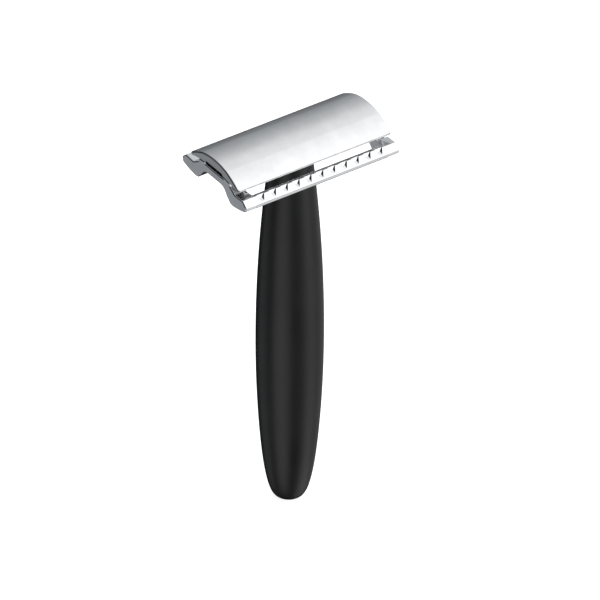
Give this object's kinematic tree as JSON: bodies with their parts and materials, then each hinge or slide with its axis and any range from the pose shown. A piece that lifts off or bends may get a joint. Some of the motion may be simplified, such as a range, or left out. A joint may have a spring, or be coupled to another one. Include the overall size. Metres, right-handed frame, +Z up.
{
  "type": "safety razor",
  "caption": "Three-piece double-edge safety razor without its blade: creased metal cap, scalloped closed-comb base plate and a round tapered black handle that unscrews.",
  "frame": {"origin": "on the handle's axis, at the seat where the handle's top meets the underside of the base plate", "axes": "+Z up along the handle's axis through the cap, +X along the length of the head, +Y across it from one guard bar to the other"},
  "size_m": [0.043, 0.026, 0.1031],
  "materials": {
    "cap_metal": "satin chrome",
    "plate_metal": "bright satin chrome",
    "stud_steel": "machined steel",
    "pin_metal": "satin chrome",
    "handle_black": "smooth satin black",
    "insert_brass": "machined brass"
  },
  "bodies": {
    "handle": {"handle_grip": "handle_black", "threaded_insert": "insert_brass"},
    "plate": {"base_plate": "plate_metal"},
    "cap": {"top_cap": "cap_metal", "threaded_stud": "stud_steel", "guide_pin_left": "pin_metal", "guide_pin_right": "pin_metal"}
  },
  "joints": [
    {"name": "head_unscrew", "type": "hinge", "parent": "handle", "child": "plate", "pos_m": [0, 0, 0], "axis": [0, 0, 1], "range_deg": [0, 3240]},
    {"name": "cap_lift", "type": "slide", "parent": "plate", "child": "cap", "axis": [0, 0, 1], "range_m": [0, 0.0073]}
  ],
  "couplings": [
    {"joint": "cap_lift", "follows": "head_unscrew", "m_per_rad": 0.00012732}
  ]
}
